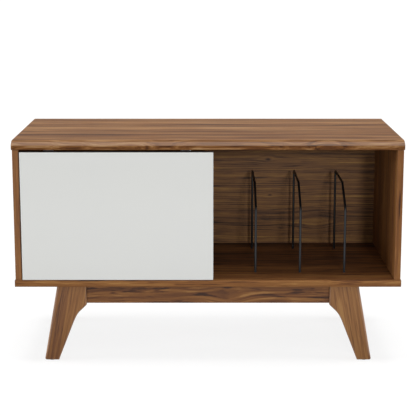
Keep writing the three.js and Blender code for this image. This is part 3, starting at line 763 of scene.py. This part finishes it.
top = panel(
    "top_board", "top_panel", top_wood, "walnut_top", depth=21 * MM, drop=11.3 * MM, crease=0.5 * MM
)
bottom = panel("bottom_board", "bottom_panel", bottom_wood, "walnut_case", depth=4.5 * MM, drop=4.5 * MM)
left_side = board("left_side_board", "left_side_panel", side_arris, left_side_wood, "walnut_case")
right_side = board("right_side_board", "right_side_panel", side_arris, right_side_wood, "walnut_case")
board("front_apron_board", "front_apron", frame_arris, apron_wood, "walnut_solid")
board("rear_apron_board", "rear_apron", frame_arris, apron_wood, "walnut_solid")
board("left_rail_board", "left_side_rail", frame_arris, rail_wood, "walnut_solid")
board("right_rail_board", "right_side_rail", frame_arris, rail_wood, "walnut_solid")

# The track's slot in the top, and the recess that the back panel lies in

gap = 0.3 * MM
margin = Vector((gap, gap, gap))
past_the_rear = Vector((gap, 10 * MM, gap))

track_low, track_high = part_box("door_track")
cut_away(top, track_low - margin, track_high + margin)
back_low, back_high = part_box("back_panel")
for piece in (top, bottom, left_side, right_side):
    cut_away(piece, back_low - margin, back_high + past_the_rear)

# Door, with a groove along its bottom edge

door_arris = 1.0 * MM
groove_half_width = 2.5 * MM
groove_depth = 8.5 * MM


def door():
    """The white leaf: a rounded section with the groove in its foot, run along X."""
    low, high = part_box("door_panel")
    near, far = low.y + door_arris, high.y - door_arris
    foot, crown = low.z + door_arris, high.z - door_arris
    outline = []
    for y, z, angle in ((near, foot, 270), (near, crown, 180), (far, crown, 90), (far, foot, 0)):
        outline += arc(y, z, door_arris, angle, angle - 90, 4)
    middle = (low.y + high.y) / 2
    for side, up in ((1, 0), (1, 1), (-1, 1), (-1, 0)):
        outline.append((middle + side * groove_half_width, low.z + up * groove_depth))
    bm = extruded(outline, low.x, high.x, door_arris, 4)
    return new_object("door_leaf", bm, door_white, "door", "white_door", "door_panel")


door()

# Legs

leg_round = 3.5 * MM
leg_outer_round = 7 * MM
leg_round_steps = 5
head_width = 75.5 * MM
splay = 36.4 * MM
foot_width = 37.2 * MM
knee_drop = 53.5 * MM
around_knee = ((0, 1.5 * MM), (1 * MM, -0.9 * MM))
corner_run, corner_drop = 16.9 * MM, 69.8 * MM
bend_run, bend_drop = 35 * MM, 100.6 * MM
bend_steps = 14
toe_radius = 5.5 * MM
toe_steps = 8
outer_round_start = 20 * MM


def leg_outline(height):
    """Front view of a leg: x from its inner top edge outwards, z from its top down.

    Below a short upright it steps outwards to a corner, bends down from there, and runs straight to the toe.
    """
    outer = head_width + splay
    inner = outer - foot_width
    slope_run = (inner - bend_run) / (height - bend_drop)
    knee = math.atan2(corner_drop - knee_drop, corner_run)
    pull = (bend_run - corner_run - (bend_drop - corner_drop) * slope_run) / (1 - math.tan(knee) * slope_run)
    bend_start = Vector((corner_run, -corner_drop))
    bend_control = Vector((corner_run + pull, -corner_drop - pull * math.tan(knee)))
    bend_end = Vector((bend_run, -bend_drop))
    points = [Vector((0, 0))]
    points += [Vector((x, z - knee_drop)) for x, z in around_knee]
    points += [eased(bend_start, bend_control, bend_end, step / bend_steps) for step in range(bend_steps + 1)]
    points.append(Vector((inner, -height)))
    tilt = math.atan2(splay, height)
    upwards = Vector((-math.sin(tilt), math.cos(tilt)))
    toe = toe_radius * math.tan(math.pi / 4 + tilt / 2)
    toe_corner = Vector((outer, -height))
    toe_start = toe_corner - Vector((toe, 0))
    toe_end = toe_corner + upwards * toe
    points += [eased(toe_start, toe_corner, toe_end, step / toe_steps) for step in range(toe_steps + 1)]
    rounds = [leg_round] * len(points)
    points += [toe_end + upwards * outer_round_start, Vector((head_width, 0))]
    rounds += [leg_outer_round] * 2
    return points, rounds


def insets(points):
    """For each point of an outline, the move that shifts its edges inwards by 1. The top stays level."""
    inward = []
    for a, b in zip(points, points[1:]):
        edge = (b - a).normalized()
        inward.append(Vector((-edge.y, edge.x)))
    moves = [Vector((1 / inward[0].x, 0))]
    moves += [(a + b) / (1 + a.dot(b)) for a, b in zip(inward, inward[1:])]
    moves.append(Vector((1 / inward[-1].x, 0)))
    return moves


def leg_wood(name, side, front, lean):
    """Walnut whose grain follows a leg's lean, from another place in the pattern for each leg."""
    return walnut(
        name,
        (0, math.radians(90) + side * lean, 0),
        (side * 2.7 + 4, 1.9 if front else 6.4, 3.1),
        slope=0.02,
        wander=0.012,
        ring=0.009,
        band_depth=0.8,
        streak_depth=0.6,
        vein_depth=0.4,
        vein_run=6.0,
        tone=0.7,
        specular=0.3,
        # a painted highlight on the rounded edges
        edge_highlight=0.15,
    )


def leg(name):
    """A leg whose outline shrinks towards its front and back faces, by more along its outer edge."""
    low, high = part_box(name)
    front = low.y < 0
    side = -1 if low.x < 0 else 1
    inner = high.x if side < 0 else low.x
    height = high.z - low.z
    points, rounds = leg_outline(height)
    moves = insets(points)
    bm = bmesh.new()
    rings = []
    steps = range(leg_round_steps + 1)
    for end, turn, order in ((low.y, 1, steps), (high.y, -1, reversed(steps))):
        for step in order:
            angle = math.pi / 2 * step / leg_round_steps
            ring = []
            for point, move, radius in zip(points, moves, rounds):
                x, z = point + move * (radius * (1 - math.sin(angle)))
                y = end + turn * radius * (1 - math.cos(angle))
                ring.append(bm.verts.new((inner + side * x, y, high.z + z)))
            rings.append(ring)
    bm.faces.new(rings[0])
    bm.faces.new(list(reversed(rings[-1])))
    bridge(bm, rings)
    material = leg_wood(name + "_walnut", side, front, math.atan2(splay, height))
    return new_object(
        name + "_shaped", bm, material, "cabinet", "walnut_solid", name, angle=30, large_share=0.06
    )


for corner_name in CORNERS:
    leg(corner_name + "_leg")

# Record dividers

rod_radius = 3 * MM
rod_bend = 9 * MM
rod_bend_steps = 12
rod_sides = 24
shoulder_drop = 53 * MM
shoulder_run = 78 * MM


def rod_path(points):
    """The points of a bent rod's middle line, with a round bend at each inner one."""
    path = [points[0]]
    for before, corner, after in zip(points, points[1:], points[2:]):
        back = (before - corner).normalized()
        ahead = (after - corner).normalized()
        half = back.angle(ahead) / 2
        centre = corner + (back + ahead).normalized() * (rod_bend / math.sin(half))
        start = corner + back * (rod_bend / math.tan(half)) - centre
        end = corner + ahead * (rod_bend / math.tan(half)) - centre
        axis, sweep = start.rotation_difference(end).to_axis_angle()
        for step in range(rod_bend_steps + 1):
            path.append(centre + Matrix.Rotation(sweep * step / rod_bend_steps, 3, axis) @ start)
    path.append(points[-1])
    return path


def rod(node):
    """A record divider: one rod, bent in a plane from front to back, with its ends in the bottom panel."""
    low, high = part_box(node)
    middle = (low.x + high.x) / 2
    front, back = low.y + rod_radius, high.y - rod_radius
    foot, crown = low.z, high.z - rod_radius
    corners = (
        (front, foot),
        (front, crown - shoulder_drop),
        (front + shoulder_run, crown),
        (back, crown),
        (back, foot),
    )
    path = rod_path([Vector((middle, y, z)) for y, z in corners])
    bm = bmesh.new()
    rings = []
    across = Vector((1, 0, 0))
    for i, point in enumerate(path):
        along = (path[min(i + 1, len(path) - 1)] - path[max(i - 1, 0)]).normalized()
        other = along.cross(across).normalized()
        ring = []
        for k in range(rod_sides):
            angle = 2 * math.pi * k / rod_sides
            outwards = across * math.cos(angle) + other * math.sin(angle)
            ring.append(bm.verts.new(point + rod_radius * outwards))
        rings.append(ring)
    bridge(bm, rings)
    bm.faces.new(list(reversed(rings[0])))
    bm.faces.new(rings[-1])
    return new_object(node + "_rod", bm, rod_black, "cabinet", "black_rod", node)


for number in (1, 2, 3):
    rod(f"record_divider_{number}")

# Glides

glide_edge = 0.5 * MM
glide_height = 1.2 * MM
glide_pin_radius = 1.25 * MM
glide_sides = 32


def glide(node):
    """A foot glide: a disc with a rounded lower edge, and the pin that it is driven in with."""
    low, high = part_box(node)
    centre = (low + high) / 2
    radius = (high.x - low.x) / 2
    rim = low.z + glide_height
    profile = [(0.0, low.z)]
    profile += arc(radius - glide_edge, low.z + glide_edge, glide_edge, -90, 0, 4)
    profile += [(radius, rim), (glide_pin_radius, rim), (glide_pin_radius, high.z), (0.0, high.z)]
    bm = bmesh.new()
    rings = []
    for r, z in profile:
        ring = []
        for k in range(glide_sides if r else 1):
            angle = 2 * math.pi * k / glide_sides
            ring.append(bm.verts.new((centre.x + r * math.cos(angle), centre.y + r * math.sin(angle), z)))
        rings.append(ring)
    bridge(bm, rings)
    return new_object(node + "_disc", bm, brown_nylon, "cabinet", "foot_glide", node)


for corner_name in CORNERS:
    glide(corner_name + "_glide")

# Finishes on the remaining solids, by the ends of their names

finishes = {
    "back_panel": back_wood,
    "centre_divider": divider_wood,
    "door_track": track_metal,
    "_wheel": white_nylon,
    "_stop": black_nylon,
    "floor_guide": black_nylon,
    "_block": block_wood,
    "_dowel": dowel_wood,
}

for name, node in nodes.items():
    if node.hide_render:
        continue
    material = next((finish for ending, finish in finishes.items() if name.endswith(ending)), zinc)
    for material_slot in node.material_slots:
        material_slot.material = material

# Floor, light and world

world_light = 0.34
floor_glow = 0.81
floor_albedo = 0.24
floor_size = 60


def seen_directly(tree):
    """1 for camera, glossy and transmission rays."""
    rays = tree.nodes.new("ShaderNodeLightPath")
    total = rays.outputs["Is Camera Ray"]
    for name in ("Is Glossy Ray", "Is Transmission Ray"):
        node = tree.nodes.new("ShaderNodeMath")
        node.operation = "MAXIMUM"
        tree.links.new(total, node.inputs[0])
        tree.links.new(rays.outputs[name], node.inputs[1])
        total = node.outputs[0]
    return total


floor_mesh = bpy.data.meshes.new("floor")
floor_bm = bmesh.new()
bmesh.ops.create_grid(floor_bm, x_segments=1, y_segments=1, size=floor_size)
floor_bm.to_mesh(floor_mesh)
floor_bm.free()
floor = linked("floor", floor_mesh)
floor_material = bpy.data.materials.new("floor_white")
floor_material.use_nodes = True
floor_tree = floor_material.node_tree
floor_bsdf = floor_tree.nodes["Principled BSDF"]
floor_bsdf.inputs["Base Color"].default_value = (floor_albedo, floor_albedo, floor_albedo, 1)
floor_bsdf.inputs["Roughness"].default_value = 1
floor_bsdf.inputs["Specular IOR Level"].default_value = 0
floor_bsdf.inputs["Emission Color"].default_value = (1, 1, 1, 1)
glow = floor_tree.nodes.new("ShaderNodeMath")
glow.operation = "MULTIPLY"
glow.inputs[1].default_value = floor_glow
floor_tree.links.new(seen_directly(floor_tree), glow.inputs[0])
floor_tree.links.new(glow.outputs[0], floor_bsdf.inputs["Emission Strength"])
floor_mesh.materials.append(floor_material)

world = bpy.data.worlds.new("studio")
bpy.context.scene.world = world
world.use_nodes = True
background = world.node_tree.nodes["Background"]
background.inputs["Color"].default_value = (1, 1, 1, 1)
level = world.node_tree.nodes.new("ShaderNodeMapRange")
level.inputs["To Min"].default_value = world_light
level.inputs["To Max"].default_value = 1.0
world.node_tree.links.new(seen_directly(world.node_tree), level.inputs["Value"])
world.node_tree.links.new(level.outputs["Result"], background.inputs["Strength"])


def sun(name, strength, azimuth, elevation, angle):
    """A soft distant lamp, with its directions and its width in degrees.

    Strength 1 lights a facing white surface to white. Azimuth 0 is the front and 90 the right.
    """
    data = bpy.data.lights.new(name, "SUN")
    data.energy = strength * math.pi
    data.angle = math.radians(angle)
    lamp = linked(name, data)
    a, e = math.radians(azimuth), math.radians(elevation)
    towards = Vector((math.sin(a) * math.cos(e), -math.cos(a) * math.cos(e), math.sin(e)))
    lamp.rotation_euler = towards.to_track_quat("Z", "Y").to_euler()


def reflector(name, strength, size, location):
    """A lamp that lies face up on the floor and is as bright as a white floor at strength 1."""
    data = bpy.data.lights.new(name, "AREA")
    data.shape = "RECTANGLE"
    data.size, data.size_y = size
    data.energy = strength * math.pi * size[0] * size[1]
    lamp = linked(name, data)
    lamp.location = location
    lamp.rotation_euler = (math.pi, 0, 0)
    lamp.visible_camera = False


sun("top_softbox", 0.46, 0, 90, 24)
sun("front_lamp", 0.23, 5.5, 12, 5)
sun("high_front", 0.04, 0, 50, 30)
sun("left_fill", 0.36, -83, 10, 18)
sun("right_fill", 0.36, 83, 10, 18)
sun("left_rim", 0.3, -104, 8, 15)
sun("right_rim", 0.3, 104, 8, 15)
reflector("front_reflector", 0.79, size=(3.0, 1.8), location=(0, -1.4, 0.01))

bpy.context.scene.view_settings.view_transform = "Standard"
